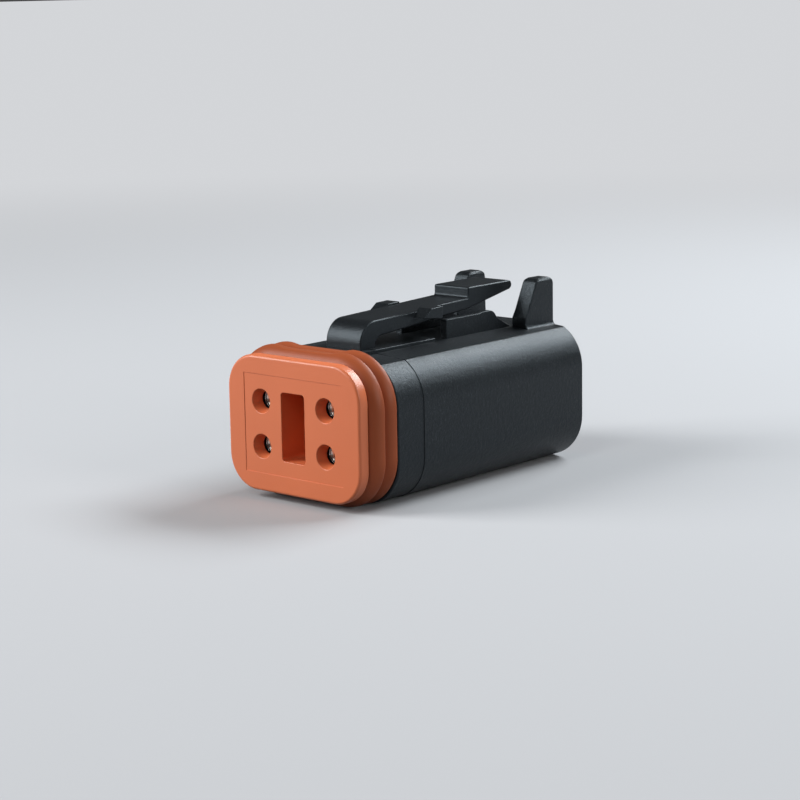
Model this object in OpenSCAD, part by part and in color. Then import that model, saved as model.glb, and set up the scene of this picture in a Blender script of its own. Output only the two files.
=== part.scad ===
// Four-way sealed plug: moulded housing with a sprung latch, a ribbed front seal held by a
// wedge lock, four socket contacts in metal hoods, and a rear wire seal.
//
// Working frame of every module: x to the right, y up, z the depth behind the mating face,
// with the centre of the contact pattern at x = y = 0. place() turns that into the part's own
// frame: +X right, +Y from the mating face to the wires, +Z up, origin under the middle.

/* [Overall] */
// Length from the mating face to the rear rim
overall_length = 41; // [38:0.5:46]
// Height of the contact pattern's centre above the resting face
axis_height = 9.1; // [8.6:0.1:10]

/* [Contacts] */
// Distance between the two columns of contacts
pitch_x = 10.2; // [9.8:0.1:10.8]
// Distance between the two rows of contacts
pitch_y = 5.4; // [5:0.1:6]
// Diameter of the mating pin's bore in a contact
pin_bore = 1.6; // [1.5:0.05:1.8]
// Depth of the pin's bore
pin_bore_depth = 6.2; // [4:0.1:7]
// Lead-in chamfer of the pin's bore
pin_lead = 0.2; // [0.1:0.05:0.25]
// Outer diameter of the hood and the crimp barrel
contact_dia = 2.6; // [2.5:0.05:2.7]
// Diameter of the collar that the locking finger holds
collar_dia = 3; // [2.9:0.05:3.1]
// Wall of the sheet-metal hood
hood_wall = 0.15; // [0.1:0.01:0.2]
// Diameter of the opening in the hood's turned-in front
hood_mouth_dia = 2.2; // [2:0.05:2.25]
// Length of the hood
hood_length = 6.6; // [6:0.1:7]
// Diameter of the contact's waist, behind its first collar
waist_dia = 1.9; // [1.8:0.05:2]
// Bore for the wire strands at the rear of a contact
crimp_bore = 1.9; // [1.7:0.05:2.1]
// Depth of the bore for the wire strands
crimp_depth = 6.5; // [5:0.1:7]
// Whole length of a contact
contact_length = 19.6; // [19:0.1:22]
// Gap between the wedge lock's plate and the contact's front
contact_setback = 0.4; // [0.2:0.05:0.8]

/* [Wedge lock] */
// Width of the plate
plate_width = 21; // [20:0.1:22]
// Height of the plate
plate_height = 16.2; // [15.6:0.1:16.8]
// Corner radius of the plate
plate_corner = 4.2; // [3.6:0.1:4.6]
// Thickness of the plate
plate_thickness = 1.5; // [1.3:0.1:2]
// Rounding of the plate's front edge
plate_edge = 0.35; // [0.2:0.05:0.5]
// Rounding of the plate's rear edge
plate_rear_edge = 0.12; // [0.05:0.01:0.2]
// Width of the shallow panel in the plate's face
panel_width = 15.6; // [15:0.1:16.2]
// Height of the shallow panel in the plate's face
panel_height = 11.8; // [11.4:0.1:12.4]
// Depth of the shallow panel
panel_depth = 0.07; // [0.05:0.01:0.12]
// Diameter of a pin entry at the face
mouth_dia = 2.95; // [2.8:0.05:3.1]
// Diameter of a pin entry behind its funnel
entry_dia = 2.25; // [2:0.05:2.3]
// Depth of the funnel
funnel_depth = 1.05; // [0.8:0.05:1.1]
// Width of the tool slot
slot_width = 3.7; // [3.4:0.1:4]
// Height of the tool slot
slot_height = 8.2; // [7.8:0.1:8.6]
// Depth of the tool slot
slot_depth = 9.4; // [8:0.1:10]
// Corner radius of the tool slot
slot_corner = 0.45; // [0.2:0.05:0.6]
// Wall of the hollow leg round the slot
leg_wall = 0.85; // [0.7:0.05:0.9]
// Thickness of the leg's closed end
leg_floor = 1.1; // [0.8:0.1:1.5]

/* [Front seal] */
// How far the seal's ribs stand out past the housing's sides
rib_stand = 0.05; // [0:0.01:0.2]
// Clearance between the ribs and the resting face
rib_lift = 0.05; // [0:0.01:0.2]
// Corner radius over the ribs
rib_corner = 6.2; // [5.6:0.1:6.6]
// Depth of the grooves before the ribs
groove_depth = 1.35; // [1.1:0.05:1.5]
// Wall of the seal between its grooves and its bore
seal_wall = 1.47; // [1.3:0.01:1.6]
// Clearance between the wedge lock's plate and the first rib
seal_front_gap = 0.04; // [0.02:0.01:0.1]
// Clearance between the last rib and the housing's shoulder
seal_rear_gap = 0.01; // [0.01:0.01:0.05]
// Distance from crest to crest
rib_pitch = 2.05; // [1.9:0.01:2.2]
// Length of the steep flank behind a rib's crest
rib_flank = 0.34; // [0.25:0.01:0.35]
// Width of the flat dip along the top of the ribs
dip_width = 7.4; // [6:0.1:8.4]
// Run of the slope on each side of the dip, along the top
dip_slope = 1.2; // [0.8:0.1:1.6]
// Depth of the flat dip
dip_depth = 0.24; // [0.1:0.02:0.4]
// Length of the blunt edge on a rib's crest
crest_land = 0.12; // [0.08:0.01:0.16]
// Fall of a rib's crest over its blunt edge
crest_fall = 0.08; // [0.04:0.01:0.12]

/* [Housing] */
// Width of the housing
shell_width = 22.8; // [22.4:0.1:23.4]
// Height of the housing from the resting face to the latch platform
shell_height = 17.4; // [17:0.1:17.8]
// Corner radius of the housing
shell_corner = 5.6; // [5:0.1:6]
// Rounding of the front shoulder's edge
shoulder_edge = 0.25; // [0.1:0.05:0.4]
// Depth position of the parting line
parting_depth = 10.2; // [9.8:0.1:10.6]
// Step of the outer skin at the parting line
parting_step = 0.06; // [0.04:0.01:0.1]
// Drop from the latch platform to the flat top beside it
flat_drop = 0.4; // [0.3:0.05:0.5]
// Fall of the flat top away from the platform, in degrees
flat_slope = 4; // [2:0.5:6]
// Width of the latch platform
platform_width = 8.2; // [8:0.1:8.6]
// Depth position of the platform's rear end
platform_end = 20.9; // [19:0.1:22]
// Rounding of the rear rim
rim_edge = 0.5; // [0.3:0.05:0.6]
// Clearance between the front seal and the tower that carries it
tower_clearance = 0.03; // [0.02:0.01:0.06]
// Radial clearance round a contact in its cavity
cavity_clearance = 0.1; // [0.05:0.01:0.15]
// Clearance round the wedge lock's leg
leg_clearance = 0.1; // [0.05:0.01:0.12]
// Width of a locking finger
finger_width = 2; // [1.8:0.1:2.2]
// Slit beside a locking finger
finger_slit = 0.3; // [0.2:0.05:0.35]
// Length of a locking finger's hook
hook_length = 1; // [0.8:0.1:1.2]
// How far a hook is sunk into its finger
hook_sink = 0.25; // [0.2:0.05:0.3]

/* [Rear seal] */
// Width of the chamber for the rear seal
chamber_width = 19.6; // [19:0.1:20]
// Height of the chamber
chamber_height = 13; // [12.6:0.1:13.2]
// Corner radius of the chamber
chamber_corner = 4.4; // [4:0.1:5]
// Length of the rear seal
rear_seal_length = 9.8; // [9:0.1:11]
// How far the rear seal sits inside the rear rim
rear_recess = 2.6; // [2:0.1:3.4]
// Diameter of a wire hole
wire_hole = 2.1; // [1.9:0.05:2.4]
// Diameter of a wire hole's mouth
wire_mouth = 3.6; // [3.2:0.1:4]
// Clearance round the rear seal
seal_clearance = 0.05; // [0.02:0.01:0.08]
// Depth of the grooves between the rear seal's rings
ring_groove = 0.5; // [0.3:0.05:0.7]

/* [Latch] */
// Width of the latch lever
lever_width = 5.6; // [5.4:0.1:5.8]
// Depth position of the lever's front wall
lever_front = 8.9; // [8.6:0.1:9.2]
// Thickness of the lever's root
root_thickness = 2.6; // [2.4:0.1:2.8]
// Clearance round the lever's root
root_clearance = 0.05; // [0.03:0.01:0.08]
// Outer radius of the lever's bend
bend_radius = 2.7; // [2.5:0.1:2.9]
// Inner radius of the lever's bend
inner_radius = 1.2; // [0.8:0.1:1.5]
// Height of the arm's top above the platform at the bend
arm_rise = 3.2; // [3:0.1:3.4]
// Slope of the arm's top, in degrees
arm_slope = 2; // [1.6:0.1:2.4]
// Slope of the arm's underside, in degrees
under_slope = 4.4; // [4:0.1:4.8]
// Thickness of the arm at the bend
arm_thickness = 2; // [1.9:0.1:2.1]
// Depth position of the thumb pad's front face
pad_front = 28.8; // [28:0.1:29.4]
// Depth position of the thumb pad's tip
pad_end = 37.45; // [36.45:0.1:37.55]
// Height of the pad's top above the platform
pad_height = 5.15; // [5:0.05:5.3]
// Rounding of the pad's front edge
pad_edge = 0.25; // [0.15:0.05:0.35]
// Thickness of the pad's tip
tip_thickness = 1.15; // [1.05:0.05:1.3]
// Depth position of the catches' rear faces
catch_back = 22.4; // [22:0.1:22.5]
// Length of a catch, ramp included
catch_length = 4.4; // [4:0.1:5]
// Length of a catch's ramp
catch_ramp = 1.8; // [1.4:0.1:2.2]
// How far a catch stands out beside the arm
catch_reach = 1.15; // [1:0.05:1.2]
// Height of a catch
catch_height = 1.05; // [0.95:0.05:1.2]
// Width over the two guide rails
rails_width = 8.2; // [8:0.1:8.6]
// Thickness of a guide rail
rail_thickness = 1; // [0.8:0.05:1.05]
// Height of the rails above the flat top
rail_height = 2.35; // [2.2:0.05:2.5]
// Depth position of the rails' front ends
rail_front = 22.95; // [22.85:0.05:23.2]
// Length of the rails
rail_length = 9.85; // [9.5:0.05:10.2]
// Rounding of a rail's front end
rail_nose = 0.3; // [0.2:0.05:0.4]
// Rounding of a rail's rear end
rail_heel = 1.5; // [1:0.1:1.6]
// How far the rear part of a rail stands higher
rail_hump = 0.13; // [0.08:0.01:0.2]
// Length of a rail's higher part
hump_length = 2.9; // [2.4:0.1:3.2]
// Run of the slope up to a rail's higher part
hump_run = 0.4; // [0.2:0.1:0.6]
// Length of the gusset behind a rail
gusset_length = 2.8; // [2:0.1:3]
// Distance between the two guard fins
fin_gap = 8.8; // [8.6:0.1:9]
// Thickness of a guard fin
fin_thickness = 2.25; // [2.1:0.05:2.4]
// Height of a guard fin above the platform
fin_height = 5.5; // [5.3:0.1:5.6]
// Length of a guard fin at its root
fin_root = 5.7; // [5.4:0.1:6]
// Length of a guard fin at its top
fin_top = 2.55; // [2.4:0.05:2.8]
// Height of the upright wall at a fin's front
fin_wall = 1.2; // [1:0.1:1.5]
// Height at which a fin's straight slope begins
fin_waist = 2.1; // [1.8:0.1:2.4]
// How far that slope begins behind the fin's front
fin_setback = 0.6; // [0.4:0.1:0.8]
// Rounding at the front of a fin's top
fin_nose = 1.1; // [0.9:0.1:1.3]
// Rounding at the rear of a fin's top
fin_heel = 0.9; // [0.6:0.1:1.1]
// Rounding along a fin's top edges
fin_edge = 0.5; // [0.3:0.05:0.6]
// Fillet along the outer side of a fin's root
fin_fillet = 0.5; // [0.3:0.05:0.6]

/* [Hidden] */
$fn = 48;
EPS = 0.02;

black = "#1d2125";
orange = "#d0643c";
bright = "#c9ccd0";
nickel = "#a9a597";

// Heights in the working frame
bottom_y = -axis_height;
platform_y = bottom_y + shell_height;
flat_y = platform_y - flat_drop;

// Depths in the working frame
first_crest = plate_thickness + seal_front_gap + rib_pitch - rib_flank;
shoulder_depth = first_crest + rib_pitch + rib_flank + seal_rear_gap;
contact_front = plate_thickness + contact_setback;
collar_front = contact_front + hood_length;
collar_length = 1;
socket_front = contact_front + hood_wall + 0.05;
collar_back = collar_front + collar_length;
waist_length = 3;
barrel_front = collar_back + waist_length;
leg_depth = slot_depth + leg_floor;
chamber_front = overall_length - rear_recess - rear_seal_length;

// Sizes that follow from fits
rib_width = shell_width + 2 * rib_stand;
rib_height = 2 * (axis_height - rib_lift);
core_width = rib_width - 2 * groove_depth;
core_height = rib_height - 2 * groove_depth;
core_corner = rib_corner - groove_depth;
seal_bore_width = core_width - 2 * seal_wall;
seal_bore_height = core_height - 2 * seal_wall;
seal_bore_corner = core_corner - seal_wall;
cavity_r = contact_dia / 2 + cavity_clearance;
leg_corner = slot_corner + 0.3;
leg_width = slot_width + 2 * leg_wall;
leg_height = slot_height + 2 * leg_wall;
pocket_width = leg_width + 2 * leg_clearance;
pocket_height = leg_height + 2 * leg_clearance;
hook_clearance = 0.06;
finger_front = collar_back + hook_clearance;
pocket_spare = 0.4;
pocket_depth = barrel_front + pocket_spare;
collar_cavity_r = collar_dia / 2 + cavity_clearance;

// Latch geometry: the root turns about a knuckle sunk in the platform
pivot_z = lever_front + root_thickness / 2;
knuckle_r = root_thickness / 2;
bend_z = lever_front + bend_radius;
bend_y = platform_y + arm_rise - bend_radius;
inner_z = lever_front + root_thickness + inner_radius;
tip_r = tip_thickness / 2;
tip_under_angle = -79;
heel_end_angle = 18;
nose_start_angle = 153;

// The four contact places, numbered along the top row and then the bottom row
places = [[-1, 1], [1, 1], [-1, -1], [1, -1]];

module place() {
    translate([0, -overall_length / 2, axis_height])
        mirror([0, 1, 0])
            rotate([90, 0, 0])
                children();
}

module at_contact(i) {
    translate([places[i][0] * pitch_x / 2, places[i][1] * pitch_y / 2, 0])
        children();
}

// A bar along x with the children's outline, drawn as (depth, height)
module across(x0, x1) {
    translate([x1, 0, 0])
        rotate([0, -90, 0])
            linear_extrude(height = x1 - x0)
                children();
}

// The same bar on both sides of the middle
module on_both_sides(x0, x1) {
    across(x0, x1)
        children();
    across(-x1, -x0)
        children();
}

module prism(z0, z1) {
    translate([0, 0, z0])
        linear_extrude(height = z1 - z0)
            children();
}

module bore(z0, z1, r) {
    translate([0, 0, z0])
        cylinder(r = r, h = z1 - z0);
}

module rounded(w, h, r) {
    square([w - 2 * r, h], center = true);
    square([w, h - 2 * r], center = true);
    for (sx = [-1, 1], sy = [-1, 1])
        translate([sx * (w / 2 - r), sy * (h / 2 - r)])
            circle(r = r);
}

// Carries an outline, drawn as (distance out from the corner's centre, depth), round a
// rounded rectangle
module carried_round(w, h, r) {
    for (k = [0:3]) {
        side = k % 2 == 0 ? w : h;
        run = k % 2 == 0 ? h : w;
        rotate(90 * k)
            translate([side / 2 - r, run / 2 - r, 0]) {
                rotate_extrude(angle = 90)
                    children();
                rotate([90, 0, 0])
                    linear_extrude(height = run - 2 * r)
                        children();
            }
    }
}

// A rounded rectangular slab whose front and rear edges are rounded too, or sharp at zero
module soft_slab(w, h, r, z0, z1, front_edge, rear_edge) {
    translate([-w / 2 + r, -h / 2 + r, z0])
        cube([w - 2 * r, h - 2 * r, z1 - z0]);
    carried_round(w, h, r) {
        translate([0, z0 + front_edge])
            square([r, z1 - z0 - front_edge - rear_edge]);
        translate([0, z0])
            square([r - max(front_edge, rear_edge), z1 - z0]);
        if (front_edge > 0)
            slab_edge(r, z0, front_edge, 1);
        if (rear_edge > 0)
            slab_edge(r, z1, rear_edge, -1);
    }
}

// One rounded edge of a slab's outline, at the depth z and opening towards dir
module slab_edge(r, z, edge, dir) {
    translate([r - edge, z + dir * edge])
        circle(r = edge);
    translate([0, dir > 0 ? z : z - edge])
        square([r - edge, edge]);
}

function arc(centre, r, a0, a1, n = 8) =
    [for (i = [0:n]) centre + r * [cos(a0 + (a1 - a0) * i / n), sin(a0 + (a1 - a0) * i / n)]];

// ---- wedge lock ----

module wedge_lock() {
    color(orange)
        place()
            difference() {
                union() {
                    soft_slab(plate_width, plate_height, plate_corner, 0, plate_thickness,
                        plate_edge, plate_rear_edge);
                    prism(plate_thickness - EPS, leg_depth)
                        rounded(leg_width, leg_height, leg_corner);
                }
                prism(-1, panel_depth)
                    square([panel_width, panel_height], center = true);
                prism(-1, slot_depth)
                    rounded(slot_width, slot_height, slot_corner);
                for (i = [0:3])
                    at_contact(i)
                        pin_entry();
            }
}

// Funnel that leads a mating pin in, and the straight hole behind it
module pin_entry() {
    bore(-1, plate_thickness + 1, entry_dia / 2);
    translate([0, 0, panel_depth - EPS])
        cylinder(r1 = mouth_dia / 2, r2 = entry_dia / 2, h = funnel_depth + EPS);
}

// ---- front seal ----

// One rib: a round front flank, a narrow crest and a steep rear flank
module rib_outline(crest) {
    run = rib_pitch - rib_flank;
    flank_r = (run * run + groove_depth * groove_depth) / (2 * groove_depth);
    floor_u = core_corner;
    intersection() {
        translate([rib_corner - flank_r, crest])
            circle(r = flank_r);
        translate([floor_u - 1, crest - run])
            square([groove_depth + 1, run]);
    }
    polygon([
        [floor_u - 1, crest],
        [rib_corner, crest],
        [rib_corner - crest_fall, crest + crest_land],
        [floor_u, crest + rib_flank],
        [floor_u - 1, crest + rib_flank]
    ]);
}

module front_seal() {
    dip_y = rib_height / 2 - dip_depth;
    color(orange)
        place()
            difference() {
                union() {
                    prism(plate_thickness, shoulder_depth)
                        rounded(core_width, core_height, core_corner);
                    for (k = [0, 1])
                        carried_round(rib_width, rib_height, rib_corner)
                            rib_outline(first_crest + k * rib_pitch);
                }
                prism(0, shoulder_depth + 1)
                    polygon([
                        [-dip_width / 2, dip_y],
                        [dip_width / 2, dip_y],
                        [dip_width / 2 + dip_slope, dip_y + dip_depth + EPS],
                        [-dip_width / 2 - dip_slope, dip_y + dip_depth + EPS]
                    ]);
                prism(0, shoulder_depth + 1)
                    rounded(seal_bore_width, seal_bore_height, seal_bore_corner);
            }
}

// ---- housing ----

// The outer skin between two depths: a soft slab with its top cut down beside the platform
module skin(z0, z1, inset, front_edge, rear_edge) {
    middle_y = bottom_y + shell_height / 2;
    top_y = flat_y - inset;
    edge_x = platform_width / 2;
    fall = (shell_width - edge_x) * tan(flat_slope);
    difference() {
        translate([0, middle_y, 0])
            soft_slab(shell_width - 2 * inset, shell_height - 2 * inset, shell_corner - inset,
                z0, z1, front_edge, rear_edge);
        for (side = [-1, 1])
            prism(z0 - 1, z1 + 1)
                polygon([
                    [side * edge_x, top_y],
                    [side * edge_x, top_y + shell_height],
                    [side * shell_width, top_y + shell_height],
                    [side * shell_width, top_y - fall]
                ]);
        if (z1 > platform_end)
            translate([-platform_width, top_y, platform_end])
                cube([2 * platform_width, shell_height, overall_length]);
    }
}

// A wall on each side that keeps the arm from being pushed aside, with a gusset behind it
module guide_rails() {
    outer = rails_width / 2;
    rear = rail_front + rail_length;
    top_y = flat_y + rail_height;
    hump_front = rear - hump_length;
    on_both_sides(outer - rail_thickness, outer)
        polygon(concat(
            [[rail_front, flat_y - 1]],
            arc([rail_front + rail_nose, top_y - rail_nose], rail_nose, 180, 90, 4),
            [[hump_front - hump_run, top_y], [hump_front, top_y + rail_hump]],
            arc([rear - rail_heel, top_y + rail_hump - rail_heel], rail_heel, 90,
                heel_end_angle),
            [[rear + gusset_length, flat_y], [rear + gusset_length, flat_y - 1]]
        ));
}

// Two upright fins that shield the thumb pad
module guard_fins() {
    inner = fin_gap / 2;
    outer = inner + fin_thickness;
    front = overall_length - fin_root;
    for (side = [0, 1])
        mirror([side, 0, 0])
            intersection() {
                across(inner - 1, outer + fin_fillet)
                    fin_outline();
                prism(front - 1, overall_length + 1)
                    fin_section(inner, outer);
            }
}

// A fin's side view, drawn as (depth, height)
module fin_outline() {
    front = overall_length - fin_root;
    rear = overall_length;
    top_y = platform_y + fin_height;
    polygon(concat(
        [[front, flat_y - 1], [front, flat_y + fin_wall]],
        [[front + fin_setback, flat_y + fin_waist]],
        arc([rear - fin_top, top_y - fin_nose], fin_nose,
            nose_start_angle, 90),
        arc([rear - fin_heel, top_y - fin_heel], fin_heel, 90, 0),
        [[rear, flat_y - 1]]
    ));
}

// A fin seen from the front: soft top edges and a fillet along the outer side of its root
module fin_section(inner, outer) {
    root_y = flat_y - 1;
    top_y = platform_y + fin_height;
    fillet_y = flat_y - (outer + fin_fillet - platform_width / 2) * tan(flat_slope);
    translate([inner, root_y])
        square([outer - inner, top_y - fin_edge - root_y]);
    translate([inner + fin_edge, root_y])
        square([outer - inner - 2 * fin_edge, top_y - root_y]);
    for (x = [inner + fin_edge, outer - fin_edge])
        translate([x, top_y - fin_edge])
            circle(r = fin_edge);
    difference() {
        translate([outer - EPS, root_y])
            square([fin_fillet + EPS, fillet_y + fin_fillet - root_y]);
        translate([outer + fin_fillet, fillet_y + fin_fillet])
            circle(r = fin_fillet);
    }
}

// Tower that carries the front seal and holds the contact cavities' front ends
module tower() {
    prism(plate_thickness, shoulder_depth + 1)
        rounded(seal_bore_width - 2 * tower_clearance, seal_bore_height - 2 * tower_clearance,
            seal_bore_corner - tower_clearance);
}

// Stepped hole for one contact: its shoulder stops the collar
module cavity() {
    bore(0, overall_length, cavity_r);
    bore(collar_front, overall_length, collar_cavity_r);
}

// Cuts that set a locking finger free on the pocket's side of a cavity
module finger_cuts() {
    x0 = pocket_width / 2 - EPS;
    reach = pitch_x / 2 - x0 - collar_cavity_r * 0.5;
    for (side = [-1, 1])
        translate([x0, side * (finger_width + finger_slit) / 2 - finger_slit / 2, collar_front])
            cube([reach, finger_slit, pocket_depth - collar_front]);
    translate([x0, -finger_width / 2, collar_front])
        cube([reach, finger_width, finger_front - collar_front]);
}

// The hook that a locking finger reaches behind the collar
module finger_hook() {
    waist_side = pitch_x / 2 - waist_dia / 2 - cavity_clearance;
    root = pitch_x / 2 - collar_cavity_r;
    across(root - hook_sink, waist_side)
        polygon([
            [finger_front, -finger_width / 2],
            [finger_front, finger_width / 2],
            [finger_front + hook_length, finger_width / 2],
            [finger_front + hook_length, -finger_width / 2]
        ]);
}

module housing() {
    color(black)
        place()
            difference() {
                union() {
                    difference() {
                        union() {
                            skin(shoulder_depth, parting_depth, parting_step, shoulder_edge, 0);
                            skin(parting_depth, overall_length, 0, 0, rim_edge);
                            tower();
                            guide_rails();
                            guard_fins();
                        }
                        prism(0, pocket_depth)
                            rounded(pocket_width, pocket_height, leg_corner);
                        for (i = [0:3])
                            at_contact(i)
                                cavity();
                        for (p = places)
                            to_column(p[0])
                                translate([0, p[1] * pitch_y / 2, 0])
                                    finger_cuts();
                    }
                    for (p = places)
                        to_column(p[0])
                            translate([0, p[1] * pitch_y / 2, 0])
                                finger_hook();
                }
                prism(chamber_front, overall_length + 1)
                    rounded(chamber_width, chamber_height, chamber_corner);
                across(-lever_width / 2 - root_clearance, lever_width / 2 + root_clearance)
                    translate([pivot_z, platform_y])
                        circle(r = knuckle_r + root_clearance);
            }
}

// Mirrors the children to the other column of contacts when side is -1
module to_column(side) {
    mirror([side < 0 ? 1 : 0, 0, 0])
        children();
}

// ---- latch ----

function arm_top(z) = bend_y + bend_radius / cos(arm_slope) + tan(arm_slope) * (z - bend_z);

function arm_under(z) = arm_top(inner_z) - arm_thickness + tan(under_slope) * (z - inner_z);

// The lever's side view: root, bend, arm and thumb pad
module lever_outline() {
    pad_top = platform_y + pad_height;
    root_back = lever_front + root_thickness;
    inner_y = arm_under(inner_z) - inner_radius;
    bend_end = bend_z - bend_radius * sin(arm_slope);
    difference() {
        union() {
            translate([lever_front, platform_y])
                square([inner_z - lever_front, bend_y - platform_y]);
            intersection() {
                translate([bend_z, bend_y])
                    circle(r = bend_radius);
                translate([lever_front, bend_y])
                    square([bend_radius, bend_radius]);
            }
            polygon(concat(
                [[bend_z, bend_y], [bend_end, arm_top(bend_end)], [pad_front, arm_top(pad_front)]],
                arc([pad_front + pad_edge, pad_top - pad_edge], pad_edge, 180, 90, 4),
                arc([pad_end - tip_r, pad_top - tip_r], tip_r, 90, tip_under_angle),
                [[pad_front, arm_under(pad_front)], [inner_z, arm_under(inner_z)],
                [inner_z, bend_y]]
            ));
        }
        translate([inner_z, inner_y])
            circle(r = inner_radius);
        translate([root_back, platform_y - 1])
            square([pad_end, inner_y - platform_y + 1]);
    }
    intersection() {
        translate([pivot_z, platform_y])
            circle(r = knuckle_r);
        translate([lever_front, platform_y - knuckle_r])
            square([root_thickness, knuckle_r + EPS]);
    }
}

// A ramp that the mating half's hook rides over, and the square face that it locks behind
module catch_outline() {
    foot = catch_back - catch_length;
    under_y = arm_top(catch_back) - catch_height;
    polygon([
        [foot, under_y],
        [foot + catch_ramp, arm_top(foot + catch_ramp)],
        [catch_back, arm_top(catch_back)],
        [catch_back, under_y]
    ]);
}

module latch_lever() {
    color(black)
        place() {
            across(-lever_width / 2, lever_width / 2)
                lever_outline();
            on_both_sides(lever_width / 2 - EPS, lever_width / 2 + catch_reach)
                catch_outline();
        }
}

// ---- rear seal ----

module rear_seal() {
    w = chamber_width - 2 * seal_clearance;
    h = chamber_height - 2 * seal_clearance;
    r = chamber_corner - seal_clearance;
    rear = chamber_front + rear_seal_length;
    ring = rear_seal_length / 5;
    color(orange)
        place()
            difference() {
                prism(chamber_front, rear)
                    rounded(w, h, r);
                for (k = [1, 3])
                    carried_round(w + 2, h + 2, r + 1)
                        translate([r - ring_groove, chamber_front + k * ring])
                            square([ring_groove + 1, ring]);
                for (i = [0:3])
                    at_contact(i)
                        wire_passage(chamber_front, rear);
            }
}

// Hole for one wire, with a funnel at each end
module wire_passage(z0, z1) {
    lead = (wire_mouth - wire_hole) / 2;
    bore(z0 - 1, z1 + 1, wire_hole / 2);
    translate([0, 0, z0 - EPS])
        cylinder(r1 = wire_mouth / 2, r2 = wire_hole / 2, h = lead);
    translate([0, 0, z1 - lead])
        cylinder(r1 = wire_hole / 2, r2 = wire_mouth / 2, h = lead + EPS);
}

// ---- contacts ----

// Turned socket contact: slit socket, collar, waist and crimp barrel
module contact(i) {
    hood_r = contact_dia / 2;
    rear = contact_front + contact_length;
    color(nickel)
        place()
            at_contact(i)
                difference() {
                    union() {
                        bore(socket_front, collar_front, hood_r - hood_wall);
                        bore(collar_front, collar_back, collar_dia / 2);
                        bore(collar_back, barrel_front, waist_dia / 2);
                        bore(barrel_front, rear, hood_r);
                    }
                    bore(contact_front, contact_front + pin_bore_depth, pin_bore / 2);
                    translate([0, 0, socket_front - EPS])
                        cylinder(r1 = pin_bore / 2 + pin_lead, r2 = pin_bore / 2, h = pin_lead);
                    bore(rear - crimp_depth, rear + 1, crimp_bore / 2);
                }
}

// Thin sheet-metal sleeve round the socket, turned in at its front
module contact_hood(i) {
    hood_r = contact_dia / 2;
    color(bright)
        place()
            at_contact(i)
                difference() {
                    bore(contact_front, collar_front, hood_r);
                    bore(contact_front + hood_wall, collar_front + 1, hood_r - hood_wall);
                    bore(contact_front - 1, contact_front + 1, hood_mouth_dia / 2);
                }
}

housing();
latch_lever();
front_seal();
wedge_lock();
rear_seal();
for (i = [0:3]) {
    contact(i);
    contact_hood(i);
}
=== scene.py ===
"""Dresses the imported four-way sealed plug: softened mouldings, rubber, turned contacts, stage."""

import math

import bmesh
import bpy
from bpy.props import FloatProperty, FloatVectorProperty, IntProperty, PointerProperty
from mathutils import Matrix, Vector


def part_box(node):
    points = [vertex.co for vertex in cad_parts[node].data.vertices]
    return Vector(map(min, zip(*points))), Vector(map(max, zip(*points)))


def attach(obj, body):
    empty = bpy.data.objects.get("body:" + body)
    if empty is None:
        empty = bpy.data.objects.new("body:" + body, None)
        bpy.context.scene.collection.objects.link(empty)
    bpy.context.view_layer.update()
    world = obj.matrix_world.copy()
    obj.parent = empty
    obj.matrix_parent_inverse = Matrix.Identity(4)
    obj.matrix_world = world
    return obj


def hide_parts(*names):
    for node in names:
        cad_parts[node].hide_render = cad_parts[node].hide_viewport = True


bl_info = {
    "name": "Sealed plug dresser",
    "version": (1, 0, 0),
    "blender": (4, 5, 0),
    "location": "3D View > Sidebar > Plug",
    "description": "Builds the visible pieces of a sealed four-way plug round its solid model",
    "category": "Object",
}

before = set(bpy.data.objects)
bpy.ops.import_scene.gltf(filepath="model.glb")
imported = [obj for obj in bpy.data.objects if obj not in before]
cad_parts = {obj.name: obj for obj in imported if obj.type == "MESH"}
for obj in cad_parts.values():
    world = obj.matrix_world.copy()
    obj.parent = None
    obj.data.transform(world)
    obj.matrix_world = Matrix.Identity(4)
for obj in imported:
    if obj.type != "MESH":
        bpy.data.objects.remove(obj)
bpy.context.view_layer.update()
MM = 0.001

SHELL_LOW, SHELL_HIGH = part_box("housing")
LEVER_LOW, LEVER_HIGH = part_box("latch_lever")
SEAL_LOW, SEAL_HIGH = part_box("front_seal")
FACE_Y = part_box("wedge_lock")[0].y
WIRE_SEAL_REAR_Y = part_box("rear_seal")[1].y
PARTING_Y = FACE_Y + 10.2 * MM
PLATFORM_Z = 17.4 * MM
AXIS_Z = (SEAL_LOW.z + SEAL_HIGH.z) / 2

RIBS = 2
ARC_STEPS = 13
ROUNDING_STEPS = 4
CORNER_STEPS = 64
FLAT_ANGLE = math.radians(0.3)

# The grain of a finish: its fineness per metre, its depth and its share of bright flecks.
SHELL_GRAIN = (6000.0, 0.045 * MM, 0.14)
LEVER_GRAIN = (6500.0, 0.022 * MM, 0.1)
PLASTIC_GRAIN = (5200.0, 0.0025 * MM, 0.1)
RUBBER_GRAIN = (3800.0, 0.003 * MM, 0.1)

# Least and greatest roughness, and how bright the plain reflection is.
NYLON_ROUGHNESS, NYLON_SHINE, NYLON_SHINE_TINT = (0.36, 0.44), 0.32, (0.72, 0.88, 1.0, 1.0)
PLASTIC_ROUGHNESS, PLASTIC_SHINE = (0.34, 0.42), 0.5
RUBBER_ROUGHNESS, RUBBER_SHINE = (0.42, 0.5), 0.3

# Roughness of a metal and the distance between the rings on it.
NICKEL_RINGS = (0.24, 0.05 * MM)
STEEL_RINGS = (0.16, 0.12 * MM)
RING_DEPTH = 0.002 * MM
STAIN_SCALE = 900.0


def length(name, default, description, top=0.05):
    """A size in metres, with Blender's own length unit."""
    return FloatProperty(name=name, description=description, default=default, min=0.0, max=top,
                         precision=5, subtype="DISTANCE", unit="LENGTH")


def colour(name, default, description):
    """A linear colour."""
    return FloatVectorProperty(name=name, description=description, default=default, min=0.0, max=1.0,
                               size=3, subtype="COLOR")


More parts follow.
